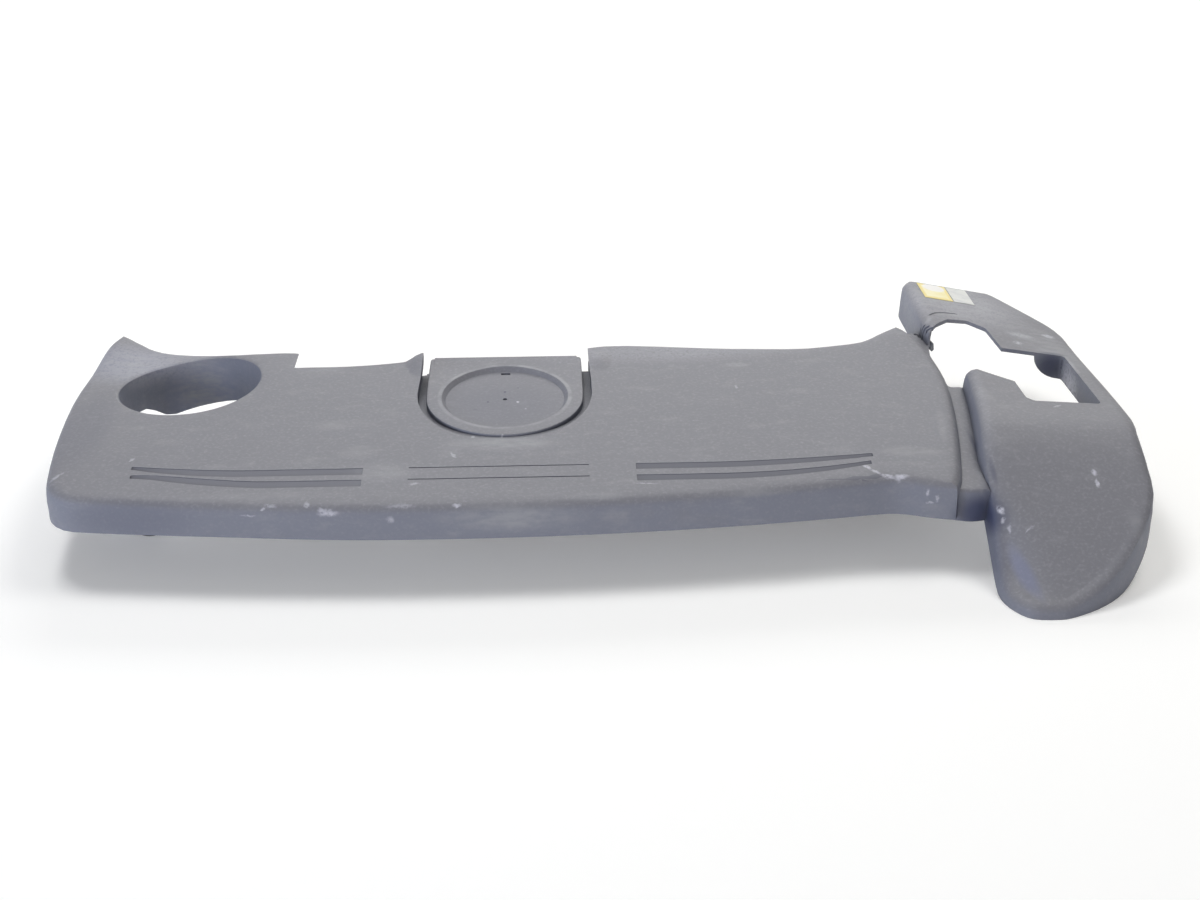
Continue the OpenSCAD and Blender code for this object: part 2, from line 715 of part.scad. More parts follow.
// Rubber cup that snaps over a ball stud, with its flange under the post
module grommet(k) {
    color([0.13, 0.13, 0.14])
        translate(-plan_centre)
            translate([post_places[k][0], post_places[k][1], 0])
                difference() {
                    union() {
                        cylinder(r = post_r, h = flange_t);
                        cylinder(r = grommet_r, h = flange_t + grommet_l);
                    }
                    translate([0, 0, -1]) cylinder(r = stud_r, h = stud_depth + 1);
                }
}

cover_shell();
yellow_label();
silver_label();
grommet(0);  // grommet_front_left
grommet(1);  // grommet_back_left
grommet(2);  // grommet_front_right
grommet(3);  // grommet_back_right
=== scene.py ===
# %% [markdown]
# # Dressing a moulded engine cover
#
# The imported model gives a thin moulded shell, two label films and four rubber
# grommets, all in metres and in their places. This lesson keeps those shapes
# and gives them the look of the real thing: an aged grey cover that has been
# handled and scuffed, lying on a pale studio floor.

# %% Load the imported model
import math

import bpy
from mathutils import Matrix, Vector


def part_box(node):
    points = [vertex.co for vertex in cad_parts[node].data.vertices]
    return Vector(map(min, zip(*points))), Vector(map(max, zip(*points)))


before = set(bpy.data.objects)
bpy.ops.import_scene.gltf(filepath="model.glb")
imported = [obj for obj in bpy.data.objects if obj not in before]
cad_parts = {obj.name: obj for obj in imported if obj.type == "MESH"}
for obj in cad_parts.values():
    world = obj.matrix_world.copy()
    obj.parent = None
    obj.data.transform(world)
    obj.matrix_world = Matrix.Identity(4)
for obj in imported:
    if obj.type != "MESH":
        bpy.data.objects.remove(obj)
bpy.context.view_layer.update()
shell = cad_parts["cover_shell"]

# %% [markdown]
# ## Three small helpers
#
# Colours are written as sRGB hex values, the way a paint chart gives them, and
# Blender wants linear light, so one function turns the one into the other.
# A second adds any shader node with its settings and its links, and a third
# starts a material with the one shader that all the finishes here need.

# %% Helpers for colours, nodes and materials
MM = 0.001
RGBA = {"data_type": "RGBA"}
SMOOTH = {"interpolation_type": "SMOOTHSTEP"}


def linear(hex_colour):
    """An sRGB hex value such as 8a8b90 as linear red, green, blue and alpha."""
    parts = [int(hex_colour[k:k + 2], 16) / 255 for k in (0, 2, 4)]
    return [c / 12.92 if c <= 0.04045 else ((c + 0.055) / 1.055) ** 2.4 for c in parts] + [1.0]


def add_node(tree, kind, settings=None, **inputs):
    """Add a node. settings are its own properties. An input goes by its name, or by i and its
    number, and takes a value, an sRGB hex colour or the socket of another node."""
    node = tree.nodes.new(kind)
    for name, value in (settings or {}).items():
        setattr(node, name, value)
    for name, value in inputs.items():
        key = int(name[1:]) if name[0] == "i" and name[1:].isdigit() else name.replace("_", " ")
        socket = node.inputs[key]
        if isinstance(value, bpy.types.NodeSocket):
            tree.links.new(value, socket)
        else:
            socket.default_value = linear(value) if isinstance(value, str) else value
    return node


def new_material(name):
    """A material that holds a principled shader and its output."""
    material = bpy.data.materials.new(name)
    material.use_nodes = True
    tree = material.node_tree
    tree.nodes.clear()
    shader = add_node(tree, "ShaderNodeBsdfPrincipled")
    add_node(tree, "ShaderNodeOutputMaterial", Surface=shader.outputs["BSDF"])
    return material, tree, shader


print("light grey in linear light:", [round(c, 3) for c in linear("8a8b90")[:3]])

# %% [markdown]
# ## What has happened to the plastic
#
# The shell is talc-filled polypropylene, moulded in one shot in a steel mould that was etched to a fine
# grain. New, it is an even dark grey. With years of heat its grain turns chalky. Its colour here also
# holds painted light: faces that look up are painted paler, as the light from above makes them, and the
# skirts a bluer grey, as the cool light from the side makes them.
# Wiping leaves streaks along the engine, and knocks leave pale scuffs.
#
# Two patterns are needed again and again, so they come first. One gives cloudy marks of a real size, for
# chalk, streaks and grain. The other gives small ovals at chosen places, for scuffs and for patches of
# painted light and shade. Both are worked out in space and not on an unwrapped skin, so they run over
# edges without a seam.

# %% Two patterns of wear
def cloudy_marks(tree, place, size_mm, stretch, low, high, detail=3.0, roughness=0.55):
    """Marks about size_mm across and drawn out by stretch: 0 where there are none, 1 in full."""
    own = add_node(tree, "ShaderNodeMapping", Vector=place,
                   Scale=[1 / (size_mm * MM * s) for s in stretch])
    cloud = add_node(tree, "ShaderNodeTexNoise", Vector=own.outputs[0], Scale=1.0, Detail=detail,
                     Roughness=roughness)
    return add_node(tree, "ShaderNodeMapRange", SMOOTH, Value=cloud.outputs["Fac"],
                    From_Min=low, From_Max=high).outputs[0]


def scuffs_at(tree, place, table):
    """The strongest of the ovals of a table at each place. A row is a centre in mm, three half
    sizes in mm, a turn in plan in degrees, and a strength up to 1."""
    strongest = 0.0
    for centre, half, turn, strength in table:
        own = add_node(tree, "ShaderNodeMapping", {"vector_type": "TEXTURE"}, Vector=place,
                       Location=[c * MM for c in centre], Rotation=(0, 0, math.radians(turn)),
                       Scale=[h * MM for h in half])
        away = add_node(tree, "ShaderNodeVectorMath", {"operation": "LENGTH"}, i0=own.outputs[0])
        oval = add_node(tree, "ShaderNodeMapRange", SMOOTH, Value=away.outputs["Value"],
                        From_Min=1.0, From_Max=0.25, To_Min=0.0, To_Max=strength)
        strongest = add_node(tree, "ShaderNodeMath", {"operation": "MAXIMUM"}, i0=strongest,
                             i1=oval.outputs[0]).outputs[0]
    return strongest


# %% [markdown]
# ## Where the scuffs and the painted sheen are
#
# These places were read off the real cover. The strongest are a worm-shaped scrape by the end of the
# right grooves, a broken ring on the front skirt, and two knocks on the drooping nose. Others follow the
# front edge, because that is where the cover touches a bench. The soft pale streak on the arm is a
# painted highlight. The wide, weak rows are painted sheen: paler patches where light glances off the
# arm, the ear and the back of the top. The render's shader has room for about 80 rows in all, so weak
# marks that nobody would miss have none.

# %% Places of the scrapes, the painted highlight and the painted sheen
# Painted light in this table: the pale streak on the arm near its right end is a painted highlight, and
# the three wide, weak rows at the end are painted sheen.
SCRAPES_AND_SHEEN = [
    ((154.5, -77.7, 55), (4, 1.5, 6), -50, 0.8), ((158.5, -82, 54), (5, 1.5, 6), -42, 0.75),
    ((165.5, -86, 53.5), (6, 1.6, 6), -12, 0.9), ((172.5, -86.5, 53), (5.5, 2.4, 6), 10, 1.0),
    ((187, -94.3, 46), (1.4, 5, 3.2), 0, 0.7), ((192.2, -94.5, 42.5), (1.4, 5, 3), 0, 0.6),
    ((188.5, -95, 39.8), (3, 5, 1.2), 0, 0.55),
    ((284.6, -85.0, 51.5), (2.4, 2.6, 6), 0, 0.95), ((284.9, -91.0, 49), (1.3, 3.2, 6), 0, 0.95),
    ((227.5, -101.6, 38.5), (2.6, 3.6, 5), 35, 0.95), ((228.2, -106.2, 34.7), (2.0, 1.6, 5), 0, 0.7),
    ((230.9, -110.8, 31), (1.4, 2.6, 5), 20, 0.6), ((241.5, -113.7, 32.5), (4.5, 0.9, 5), 35, 0.5),
    ((278, -28.6, 68), (4.5, 0.9, 5), 35, 0.6), ((307, 85, 65), (5.5, 4, 8), -20, 0.75),
    ((280.4, 65, 69), (4, 4, 8), 0, 0.6), ((286, 79, 68.5), (15, 5, 8), -8, 0.35),
    ((-150.5, -106.3, 47), (7.5, 5, 2.4), 0, 0.8), ((-153.5, -106, 48.6), (4, 5, 1.6), 0, 0.7),
    ((-79.3, -105.5, 49.9), (3, 4, 1.2), 0, 0.95), ((-75.3, -105.5, 51), (2.4, 4, 0.9), 0, 0.5),
    ((-182.6, -102.8, 50.3), (4.5, 4, 1.2), 0, 0.6), ((-186.5, -103, 49), (2, 4, 1), 0, 0.7),
    ((-162.1, -103, 51), (2.6, 4, 1.6), 0, 0.6), ((-116.4, -108, 43.2), (3, 4, 2.6), 0, 0.55),
    ((-194.9, -104.3, 45.5), (5, 4, 0.8), 0, 0.5), ((-110.7, -105.3, 50.2), (11, 4, 1.4), 0, 0.4),
    ((-83.2, -58.1, 57.4), (1.4, 4.2, 6), 30, 0.6), ((-103.5, -85.9, 53.8), (4, 1.6, 6), 10, 0.5),
    ((-72.2, -38.3, 59), (1.4, 1.8, 4), 0, 0.6), ((-55.1, -39, 59), (1.2, 1.6, 4), 0, 0.6),
    ((-306.8, -72.6, 55.5), (1.6, 7, 6), -40, 0.5), ((-267.4, -57.2, 57.5), (1.2, 3.4, 6), -30, 0.5),
    ((27, -89.5, 53.4), (9, 0.9, 6), -4, 0.5), ((89.2, 11.8, 65.4), (1.6, 3, 6), 0, 0.45),
    ((-46.0, 5.7, 60.6), (1.2, 1.5, 4), 0, 1.0), ((-41, -3, 60), (0.9, 1.1, 4), 0, 0.6),
    ((308.5, 38, 50), (4, 26, 20), 0, 1.0), ((255, 120, 74), (60, 56, 30), 0, 0.24),
    ((-292, 72, 64), (54, 42, 20), 0, 0.25), ((60, 62, 70), (120, 22, 16), 3, 0.18),
]
print("scrapes:", len(SCRAPES_AND_SHEEN))

# %% [markdown]
# ## Where hands, grime, painted light and painted shade are
#
# Rubbed places are paler than a face like theirs: the front edge and the rims that a hand takes hold of.
# Many rubbed rows are painted light instead: the highlights along the nose's top edge and along the bead
# on the arm, and paler sheen on the arm, the ear and the top in front of the pad. The grimy rows are
# mostly painted shade in dark blue-grey: in the neck beside the nose, on the nose's lower flank, along
# the left of the skirt, over the pad and at the left end. A few small ones are dark pin marks in the
# pad's recess. The bluer rows are painted cool light on the nose's lower flank and on the ear at the
# left end.

# %% Places that are rubbed, grimy, painted light and painted shade
# Partly real rubbing, partly painted light: highlights along the nose's top edge and the bead on the
# arm, and paler sheen on the arm, the ear and the top in front of the pad.
RUBBED_AND_PAINTED_LIGHT = [
    ((-122.9, -73.8, 55), (24, 14, 12), 0, 0.5), ((-138, -54, 58), (16, 9, 12), 8, 0.45),
    ((-151.6, -24.3, 61.6), (26, 8, 12), 3, 0.45), ((183.5, -63.6, 56.7), (24, 8, 12), -4, 0.6),
    ((207.3, -35.9, 60), (3.5, 24, 12), -8, 0.5), ((92.4, 39.7, 68), (12, 4.5, 12), 0, 0.7),
    ((90, -97.5, 50.5), (26, 5, 4), 2, 0.6), ((-1.4, -100.2, 51.6), (22, 5, 4), 0, 0.55),
    ((-190, -94, 52.6), (70, 5, 4), 0, 0.35), ((236, -14, 71), (6, 18, 12), 12, 0.5),
    ((303, -116, 32), (6, 26, 14), 14, 0.45), ((255, 120, 74), (52, 50, 30), 0, 0.9),
    ((300, 70, 66), (26, 60, 20), 25, 0.7), ((-170, 52, 66), (26, 22, 14), 0, 0.6),
    ((226, 85, 77), (3, 10, 5), -32, 1.0), ((235, 94.6, 77.5), (3, 9, 5), -52, 1.0),
    ((246, 98.6, 76.5), (3, 10, 5), -76, 1.0), ((-290, 68, 66), (50, 38, 20), 0, 0.8),
    ((-251, 74, 44), (44, 9, 34), 0, 1.0), ((-56, -47, 59), (44, 10, 10), 0, 1.0),
    ((-50, -107, 43), (52, 8, 11), 0, 0.8),
]
# Mostly painted shade: dark blue-grey in the neck, on the nose's lower flank, along the left of the
# skirt, over the pad and at the left end. The small rows first are dark pin marks in the pad's recess.
GRIME_AND_PAINTED_SHADE = [
    ((-64.4, 6.4, 60.6), (1.1, 1.3, 3), 0, 0.9), ((-54.1, 18.9, 61.4), (1.3, 1.6, 3), 0, 0.9),
    ((-46, 24, 61.6), (0.9, 1.1, 3), 0, 0.5), ((-72, -3, 60), (3, 1.4, 3), 10, 0.35),
    ((217, -99, 33), (20, 24, 18), 0, 1.0), ((225.5, -62, 52), (2.5, 44, 8), 3, 0.6),
    ((222.5, -100, 36), (8, 22, 24), 5, 0.7), ((222.5, -118, 22), (9, 32, 30), 5, 0.3),
    ((299, 54, 58), (14, 4, 16), 0, 0.8), ((-268, -101, 42), (60, 12, 18), 0, 0.25),
    ((-63, 0, 60), (64, 44, 8), 0, 0.18), ((-303, -20, 60), (22, 60, 18), 0, 0.18),
]
# Painted cool light: bluish places on the nose's lower flank and on the ear at the left end.
PAINTED_COOL_LIGHT = [
    ((235, -131, 15), (5.5, 30, 18), 18, 0.45), ((-294, 72, 64), (40, 34, 16), 0, 0.35),
    ((-251, 74, 40), (48, 12, 30), 0, 0.5),
]
print("rows in all, of about 80 at most:", len(SCRAPES_AND_SHEEN) + len(RUBBED_AND_PAINTED_LIGHT) + len(GRIME_AND_PAINTED_SHADE) + len(PAINTED_COOL_LIGHT))

# %% [markdown]
# ## The aged plastic, layer by layer
#
# The colour could be painted on an unwrapped skin. It is built here from what
# the place itself says instead, because that stays sharp at any distance. Each
# layer is a small function that takes the colour so far and gives it back
# changed, in the order in which the real layers came about.
#
# The first is painted light by facing: faces that look up are painted paler, and skirts a bluer grey, as
# the light from above and the cool light from the side make them. On it lie soft clouds of shade,
# streaks from wiping along the engine, and pale flecks where the etched grain catches chalk. Skirts hold
# fewer flecks.

# %% Painted light by facing, shade, streaks and flecks
# Painted light: the paler top and the bluer, darker skirts stand in for light from above and cool light
# from the side.
TOP_PAINTED_LIT = "79797f"
SKIRT_PAINTED_COOL = "757884"
COOL_LIGHT_BLUE = "777d9b"
SHADY = "76767d"
# A pale colour for chalk in streaks and flecks, and for painted highlights on the recess's rim and on
# rubbed patches.
CHALK_AND_HIGHLIGHT = "939498"
SKIRT_BELOW, TOP_ABOVE = 0.15, 0.8
# Each kind of mark: its size in mm, its stretch, its limits, its detail and its roughness.
SHADE_MARKS = (46, (1.8, 1, 1), 0.52, 0.86, 5, 0.6)
STREAK_MARKS = (9, (2.5, 1, 1), 0.50, 1.05, 5, 0.65)
FLECK_MARKS = (1.6, (1.2, 1, 1), 0.42, 1.10, 2, 0.5)
FLECKS_ON_SKIRT = 0.45


def painted_by_facing(tree):
    """How far a face looks up, from 0 at a skirt to 1, and the painted light that this gives: a paler
    top and bluer skirts.
    """
    facing = add_node(tree, "ShaderNodeNewGeometry").outputs["Normal"]
    upward = add_node(tree, "ShaderNodeSeparateXYZ", Vector=facing).outputs["Z"]
    facing_up = add_node(tree, "ShaderNodeMapRange", SMOOTH, Value=upward, From_Min=SKIRT_BELOW,
                      From_Max=TOP_ABOVE).outputs[0]
    # Painted light: the colour goes from the bluer skirt to the paler top as a face turns up.
    colour = add_node(tree, "ShaderNodeMix", RGBA, i0=facing_up, i6=SKIRT_PAINTED_COOL, i7=TOP_PAINTED_LIT)
    return facing_up, colour.outputs[2]


def clouds_and_flecks(tree, place, facing_up, colour):
    """The mask of the shade, and the colour with shade, streaks, flecks and the bluer places of painted
    cool light.
    """
    shade = cloudy_marks(tree, place, *SHADE_MARKS)
    colour = add_node(tree, "ShaderNodeMix", RGBA, i0=shade, i6=colour, i7=SHADY).outputs[2]
    streak = cloudy_marks(tree, place, *STREAK_MARKS)
    colour = add_node(tree, "ShaderNodeMix", RGBA, i0=streak, i6=colour, i7=CHALK_AND_HIGHLIGHT).outputs[2]
    kept = add_node(tree, "ShaderNodeMapRange", Value=facing_up, To_Min=FLECKS_ON_SKIRT, To_Max=1.0)
    fleck = add_node(tree, "ShaderNodeMath", {"operation": "MULTIPLY"}, i0=kept.outputs[0],
                     i1=cloudy_marks(tree, place, *FLECK_MARKS))
    colour = add_node(tree, "ShaderNodeMix", RGBA, i0=fleck.outputs[0], i6=colour, i7=CHALK_AND_HIGHLIGHT).outputs[2]
    # Painted cool light: bluish places where the cool side light falls.
    cool_light = scuffs_at(tree, place, PAINTED_COOL_LIGHT)
    colour = add_node(tree, "ShaderNodeMix", RGBA, i0=cool_light, i6=colour, i7=COOL_LIGHT_BLUE).outputs[2]
    return shade, colour


print("top and skirt in linear light:", [[round(c, 3) for c in linear(h)[:3]]
                                         for h in (TOP_PAINTED_LIT, SKIRT_PAINTED_COOL)])

# %% [markdown]
# ## Grooves and recess
#
# The floors of the long grooves are painted darker, as painted shade: they slope forward, away from the
# light above. Nothing beside them slopes so, so their slope finds them, within the strip of the top
# where they lie. The round recess of the pad is found by its distance in plan. Its floor is painted a
# little darker as shade, and its rim is painted pale as a highlight.

# %% Painted shade on the groove and recess floors, and a painted highlight on the rim
# Painted shade: the darker grey of the groove floors and of the recess floor.
PAINTED_RECESS_SHADE = "6b6c75"
GROOVE_SLOPE, SLOPE_SPREAD = -0.45, 0.16
STRIP_MIDDLE, STRIP_HALF = (-52.5, -75.5), (214.5, 13.5)
RECESS_MIDDLE, RECESS_R = (-53.95, 9.25), 39
RIM_AT, RIM_HALF = 1.03, 0.05
FLOOR_EDGE, FLOOR_FULL, FLOOR_SHADE_STRENGTH = 0.99, 0.9, 0.3
RIM_HIGHLIGHT_MARKS = (14, (1, 1, 1), 0.25, 0.7, 3, 0.6)


def groove_floors(tree, place, colour):
    flat = add_node(tree, "ShaderNodeNewGeometry").outputs["True Normal"]
    tilt = add_node(tree, "ShaderNodeSeparateXYZ", Vector=flat).outputs["Y"]
    spot = add_node(tree, "ShaderNodeSeparateXYZ", Vector=place)
    groove = add_node(tree, "ShaderNodeMath", {"operation": "COMPARE"}, i0=tilt, i1=GROOVE_SLOPE,
                      i2=SLOPE_SPREAD).outputs[0]
    for axis, middle, half in zip("XY", STRIP_MIDDLE, STRIP_HALF):
        inside = add_node(tree, "ShaderNodeMath", {"operation": "COMPARE"}, i0=spot.outputs[axis],
                          i1=middle * MM, i2=half * MM)
        groove = add_node(tree, "ShaderNodeMath", {"operation": "MULTIPLY"}, i0=groove,
                          i1=inside.outputs[0]).outputs[0]
    # Painted shade on the groove floors.
    return add_node(tree, "ShaderNodeMix", RGBA, i0=groove, i6=colour, i7=PAINTED_RECESS_SHADE).outputs[2]


def recess_and_rim(tree, place, colour):
    plan = add_node(tree, "ShaderNodeMapping", {"vector_type": "TEXTURE"}, Vector=place,
                    Location=[c * MM for c in RECESS_MIDDLE] + [0.0],
                    Scale=(RECESS_R * MM, RECESS_R * MM, 1000.0))
    out = add_node(tree, "ShaderNodeVectorMath", {"operation": "LENGTH"}, i0=plan.outputs[0])
    # Painted shade on the recess floor, fading out at its edge.
    floor_shade = add_node(tree, "ShaderNodeMapRange", Value=out.outputs["Value"],
                      From_Min=FLOOR_EDGE, From_Max=FLOOR_FULL, To_Min=0.0,
                      To_Max=FLOOR_SHADE_STRENGTH).outputs[0]
    colour = add_node(tree, "ShaderNodeMix", RGBA, i0=floor_shade, i6=colour, i7=PAINTED_RECESS_SHADE).outputs[2]
    # Painted highlight: a pale, broken ring on the recess's rim.
    off_rim = add_node(tree, "ShaderNodeMath", {"operation": "SUBTRACT"}, i0=out.outputs["Value"],
                       i1=RIM_AT)
    from_rim = add_node(tree, "ShaderNodeMath", {"operation": "ABSOLUTE"}, i0=off_rim.outputs[0])
    rim = add_node(tree, "ShaderNodeMapRange", SMOOTH, Value=from_rim.outputs[0],
                   From_Min=RIM_HALF, From_Max=RIM_HALF / 5)
    rim_highlight = add_node(tree, "ShaderNodeMath", {"operation": "MULTIPLY"}, i0=rim.outputs[0],
                       i1=cloudy_marks(tree, place, *RIM_HIGHLIGHT_MARKS)).outputs[0]
    return add_node(tree, "ShaderNodeMix", RGBA, i0=rim_highlight, i6=colour, i7=CHALK_AND_HIGHLIGHT).outputs[2]


print("recess radius in mm:", RECESS_R, "and its pale rim at:", round(RECESS_R * RIM_AT, 1))

# %% [markdown]
# ## Rubbing, grime, painted light and shade, and scrapes
#
# A scuff has a ragged edge, so its ovals are looked up at a place that a fine noise has pushed aside by
# up to a millimetre and a half. Rubbed patches and painted highlights come first, then grime and painted
# shade. Then closed-in corners and grooves are darkened as painted shade. Blender's ambient occlusion
# node finds those, because it measures how closed-in a place is. Scrapes and painted sheen come last,
# over that shade.

# %% Wear, painted light and painted shade
# A pale colour for scrapes and for the painted sheen and highlight.
SCRAPE_AND_SHEEN_PALE = "bfbfc9"
# A dark blue-grey for grime and for painted shade.
GRIME_AND_SHADE_BLUE = "3a3f58"
# Painted shade for closed-in corners and grooves.
PAINTED_CORNER_SHADE = "464a56"
RAGGED = 3 * MM
CORNER_REACH = 12 * MM
CLOSED_IN, OPEN = 0.10, 0.84
RUBBED_AND_LIT_MARKS = (5, (3, 1, 1), 0.18, 0.75, 4, 0.65)
SCRAPE_AND_SHEEN_MARKS = (1.8, (1, 1, 1), 0.22, 0.55, 2, 0.5)


def wear_and_painted_light(tree, place, colour):
    ragged = add_node(tree, "ShaderNodeTexNoise", Vector=place, Scale=1 / RAGGED, Detail=3.0)
    pushed = add_node(tree, "ShaderNodeVectorMath", {"operation": "MULTIPLY_ADD"},
                      i0=ragged.outputs["Color"], i1=[RAGGED] * 3, i2=place)
    moved = add_node(tree, "ShaderNodeVectorMath", {"operation": "SUBTRACT"}, i0=pushed.outputs[0],
                     i1=[RAGGED / 2] * 3).outputs[0]
    # Rubbed patches: partly real wear, partly painted highlights and sheen.
    rubbed = add_node(tree, "ShaderNodeMath", {"operation": "MULTIPLY"},
                      i0=scuffs_at(tree, moved, RUBBED_AND_PAINTED_LIGHT),
                      i1=cloudy_marks(tree, place, *RUBBED_AND_LIT_MARKS)).outputs[0]
    colour = add_node(tree, "ShaderNodeMix", RGBA, i0=rubbed, i6=colour, i7=CHALK_AND_HIGHLIGHT).outputs[2]
    # Grime and painted shade, in dark blue-grey.
    grime_and_shade = scuffs_at(tree, place, GRIME_AND_PAINTED_SHADE)
    colour = add_node(tree, "ShaderNodeMix", RGBA, i0=grime_and_shade, i6=colour, i7=GRIME_AND_SHADE_BLUE).outputs[2]
    # Painted shade: ambient occlusion darkens closed-in places such as corners, grooves and the neck.
    opened = add_node(tree, "ShaderNodeAmbientOcclusion", {"samples": 8}, Distance=CORNER_REACH)
    unshaded = add_node(tree, "ShaderNodeMapRange", SMOOTH, Value=opened.outputs["AO"],
                     From_Min=CLOSED_IN, From_Max=OPEN).outputs[0]
    colour = add_node(tree, "ShaderNodeMix", RGBA, i0=unshaded, i6=PAINTED_CORNER_SHADE, i7=colour).outputs[2]
    # Scrapes, with the painted highlight and the painted sheen, over everything else.
    scraped_and_sheen = add_node(tree, "ShaderNodeMath", {"operation": "MULTIPLY"},
                       i0=scuffs_at(tree, moved, SCRAPES_AND_SHEEN),
                       i1=cloudy_marks(tree, place, *SCRAPE_AND_SHEEN_MARKS)).outputs[0]
    return add_node(tree, "ShaderNodeMix", RGBA, i0=scraped_and_sheen, i6=colour, i7=SCRAPE_AND_SHEEN_PALE).outputs[2]


# The painted corner shade is looked for within this reach.
print("dirt is looked for within", round(CORNER_REACH / MM), "mm")

# %% [markdown]
# ## The grained skin
#
# The etched grain is about half a millimetre wide on the real cover. That is
# finer than a pixel here, so it is drawn at a little over one millimetre. It is
# a bump and not geometry, because it is only a few hundredths of a millimetre
# deep. Rubbing has made shady places a little smoother.

# %% Grained and aged polypropylene
GRAIN = 1.2 * MM
GRAIN_DEPTH = 0.12 * MM
FULLY_ROUGH, A_LITTLE_SMOOTHER = 0.56, 0.46
POLYPROPYLENE_IOR = 1.49


def aged_polypropylene():
    material, tree, shader = new_material("grained_polypropylene_aged")
    place = add_node(tree, "ShaderNodeTexCoord").outputs["Object"]
    facing_up, colour = painted_by_facing(tree)
    shade, colour = clouds_and_flecks(tree, place, facing_up, colour)
    colour = groove_floors(tree, place, colour)
    colour = recess_and_rim(tree, place, colour)
    colour = wear_and_painted_light(tree, place, colour)
    tree.links.new(colour, shader.inputs["Base Color"])
    grain = add_node(tree, "ShaderNodeTexNoise", Vector=place, Scale=1 / GRAIN, Detail=3.0,
                     Roughness=0.7)
    skin = add_node(tree, "ShaderNodeBump", Strength=0.5, Distance=GRAIN_DEPTH,
                    Height=grain.outputs["Fac"])
    tree.links.new(skin.outputs[0], shader.inputs["Normal"])
    worn = add_node(tree, "ShaderNodeMapRange", Value=shade, To_Min=FULLY_ROUGH,
                    To_Max=A_LITTLE_SMOOTHER)
    tree.links.new(worn.outputs[0], shader.inputs["Roughness"])
    shader.inputs["IOR"].default_value = POLYPROPYLENE_IOR
    return material


plastic = aged_polypropylene()
print("nodes in the plastic:", len(plastic.node_tree.nodes))

# %% [markdown]
# ## The label films
#
# The label is a thin polyester film, printed in flat colours and glued to the
# flat of the arm. One field is yellow with a pale middle and a pale disc, and
# the other is plain silver. Film is smoother than the grained plastic round
# it, so it picks up a soft gloss, and the glue under it gives it a slight
# ripple. Both fields share that ripple, and age has faded them in clouds.

# %% What both films share
RIPPLE = 5 * MM
RIPPLE_DEPTH = 0.1 * MM
FILM_ROUGHNESS = 0.35
POLYESTER_IOR = 1.57


def film_ripple(tree, place, shader):
    """The slight unevenness of a film on glue, about a tenth of a millimetre high."""
    ripple = add_node(tree, "ShaderNodeTexNoise", Vector=place, Scale=1 / RIPPLE, Detail=1.0)
    skin = add_node(tree, "ShaderNodeBump", Strength=0.25, Distance=RIPPLE_DEPTH,
                    Height=ripple.outputs["Fac"])
    tree.links.new(skin.outputs[0], shader.inputs["Normal"])
    shader.inputs["Roughness"].default_value = FILM_ROUGHNESS
    shader.inputs["IOR"].default_value = POLYESTER_IOR


print("ripple in mm:", round(RIPPLE / MM, 1), "wide and", round(RIPPLE_DEPTH / MM, 1), "high")

# %% Yellow and silver film
YELLOW = "e3d078"
FADED_YELLOW = "e4d78a"
PALE_MIDDLE = "ebe3b4"
DISC = "e6e4e0"
DISC_PLACE = [((241.7, 142.5, 80.0), (9.5, 8.5, 20), 0, 1.0)]
DISC_NONE, DISC_FULL = 0.05, 0.3
BORDER_NONE, BORDER_FULL = 0.70, 0.86
SILVER = "cfd0cc"
RUBBED_SILVER = "b9bbbc"


def yellow_film():
    material, tree, shader = new_material("printed_polyester_film_yellow")
    place = add_node(tree, "ShaderNodeTexCoord").outputs["Object"]
    low, high = (Vector(c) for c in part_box("yellow_label"))
    middle, half = (low + high) / 2, (high - low) / 2
    own = add_node(tree, "ShaderNodeMapping", {"vector_type": "TEXTURE"}, Vector=place,
                   Location=middle, Scale=(half.x, half.y, 1.0))
    size = add_node(tree, "ShaderNodeVectorMath", {"operation": "ABSOLUTE"}, i0=own.outputs[0])
    split = add_node(tree, "ShaderNodeSeparateXYZ", Vector=size.outputs[0])
    to_edge = add_node(tree, "ShaderNodeMath", {"operation": "MAXIMUM"}, i0=split.outputs["X"],
                       i1=split.outputs["Y"])
    border = add_node(tree, "ShaderNodeMapRange", SMOOTH, Value=to_edge.outputs[0],
                      From_Min=BORDER_NONE, From_Max=BORDER_FULL).outputs[0]
    fading = cloudy_marks(tree, place, 6, (2, 1, 1), 0.35, 0.80)
    colour = add_node(tree, "ShaderNodeMix", RGBA, i0=fading, i6=PALE_MIDDLE, i7=FADED_YELLOW).outputs[2]
    colour = add_node(tree, "ShaderNodeMix", RGBA, i0=border, i6=colour, i7=YELLOW).outputs[2]
    disc = add_node(tree, "ShaderNodeMapRange", SMOOTH, Value=scuffs_at(tree, place, DISC_PLACE),
                    From_Min=DISC_NONE, From_Max=DISC_FULL).outputs[0]
    colour = add_node(tree, "ShaderNodeMix", RGBA, i0=disc, i6=colour, i7=DISC).outputs[2]
    tree.links.new(colour, shader.inputs["Base Color"])
    film_ripple(tree, place, shader)
    return material


def silver_film():
    material, tree, shader = new_material("printed_polyester_film_silver")
    place = add_node(tree, "ShaderNodeTexCoord").outputs["Object"]
    rubbed = cloudy_marks(tree, place, 5, (2, 1, 1), 0.35, 0.80)
    colour = add_node(tree, "ShaderNodeMix", RGBA, i0=rubbed, i6=SILVER, i7=RUBBED_SILVER)
    tree.links.new(colour.outputs[2], shader.inputs["Base Color"])
    film_ripple(tree, place, shader)
    return material


films = {"yellow_label": yellow_film(), "silver_label": silver_film()}
print("films:", [film.name for film in films.values()])

# %% [markdown]
# ## The rubber grommets
#
# A grommet is moulded in black EPDM rubber, which stays soft enough to snap
# over a ball stud. Its skin is matt, and age brings a greyish bloom to it.

